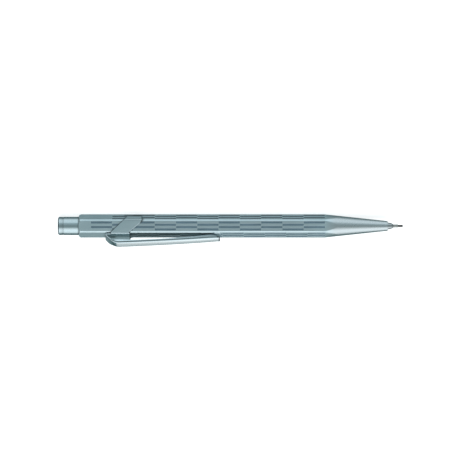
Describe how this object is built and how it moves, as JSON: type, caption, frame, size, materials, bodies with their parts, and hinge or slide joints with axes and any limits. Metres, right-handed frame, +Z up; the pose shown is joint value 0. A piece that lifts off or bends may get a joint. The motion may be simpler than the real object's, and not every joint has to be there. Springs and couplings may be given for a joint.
{
  "type": "lead holder",
  "caption": "Push-button lead holder: hexagonal metal barrel turned down to a cone, bent sheet-metal pocket clip, push cap over an eraser, and a spring-loaded clutch that feeds a thin lead.",
  "frame": {"origin": "the middle of the object's length and width, on the surface that it lies on", "axes": "+X along the barrel towards the writing tip, +Z up through the clip, with the flat opposite the clip underneath"},
  "size_m": [0.1326, 0.0102, 0.0124],
  "materials": {
    "barrel_metal": "plated satin metal with finely engraved cells on every flat",
    "clip_spring_steel": "plated and satin polished",
    "polished_metal": "polished plate",
    "plain_brass": "turned",
    "bare_steel": "drawn",
    "dark_plastic": "moulded",
    "eraser_rubber": "matte",
    "black_rubber": "matte",
    "graphite": "smooth, slightly glossy"
  },
  "bodies": {
    "barrel": {"barrel": "barrel_metal", "clip_strap": "clip_spring_steel", "rear_guide_bush": "plain_brass", "clutch_sleeve": "plain_brass", "nozzle": "polished_metal", "lead_retainer": "black_rubber", "guide_pipe": "bare_steel", "main_spring": "bare_steel"},
    "clip": {"clip_arm": "clip_spring_steel"},
    "cartridge": {"lead_tube": "dark_plastic", "eraser_ferrule": "plain_brass", "eraser": "eraser_rubber", "tube_connector": "plain_brass", "collet_stem": "plain_brass", "spare_lead_1": "graphite", "spare_lead_2": "graphite", "spare_lead_3": "graphite"},
    "cap": {"push_cap": "polished_metal", "cap_liner": "dark_plastic"},
    "jaw_1": {"collet_jaw_1": "plain_brass"},
    "jaw_2": {"collet_jaw_2": "plain_brass"},
    "jaw_3": {"collet_jaw_3": "plain_brass"},
    "clutch": {"clutch_ring": "plain_brass"},
    "writing_lead": {"lead": "graphite"}
  },
  "joints": [
    {"name": "clip_flex", "type": "hinge", "parent": "barrel", "child": "clip", "pos_m": [-0.04748, 0, 0.00897], "axis": [0, -1, 0], "range_deg": [0, 3.5], "stiffness_Nm_per_rad": 0.6, "springref_deg": -1.15},
    {"name": "button_press", "type": "slide", "parent": "barrel", "child": "cartridge", "axis": [1, 0, 0], "range_m": [0, 0.0026], "stiffness_N_per_m": 250, "springref_m": -0.002, "deforming": ["main_spring"]},
    {"name": "cap_pull", "type": "slide", "parent": "cartridge", "child": "cap", "axis": [-1, 0, 0], "range_m": [0, 0.016]},
    {"name": "clutch_ring_travel", "type": "slide", "parent": "barrel", "child": "clutch", "axis": [1, 0, 0], "range_m": [0, 0.001]},
    {"name": "jaw_1_open", "type": "hinge", "parent": "cartridge", "child": "jaw_1", "pos_m": [0.0338, 0, 0.0047], "axis": [0, -1, 0], "range_deg": [0, 1.6]},
    {"name": "jaw_2_open", "type": "hinge", "parent": "cartridge", "child": "jaw_2", "pos_m": [0.0338, -0.00061, 0.00365], "axis": [0, 0.5, -0.866], "range_deg": [0, 1.6]},
    {"name": "jaw_3_open", "type": "hinge", "parent": "cartridge", "child": "jaw_3", "pos_m": [0.0338, 0.00061, 0.00365], "axis": [0, 0.5, 0.866], "range_deg": [0, 1.6]},
    {"name": "lead_feed", "type": "slide", "parent": "barrel", "child": "writing_lead", "axis": [1, 0, 0], "range_m": [-0.0019, 0.01]}
  ],
  "couplings": [
    {"joint": "clutch_ring_travel", "follows": "button_press", "ratio": 0.38},
    {"joint": "jaw_1_open", "follows": "button_press", "rad_per_m": 10},
    {"joint": "jaw_2_open", "follows": "button_press", "rad_per_m": 10},
    {"joint": "jaw_3_open", "follows": "button_press", "rad_per_m": 10}
  ]
}
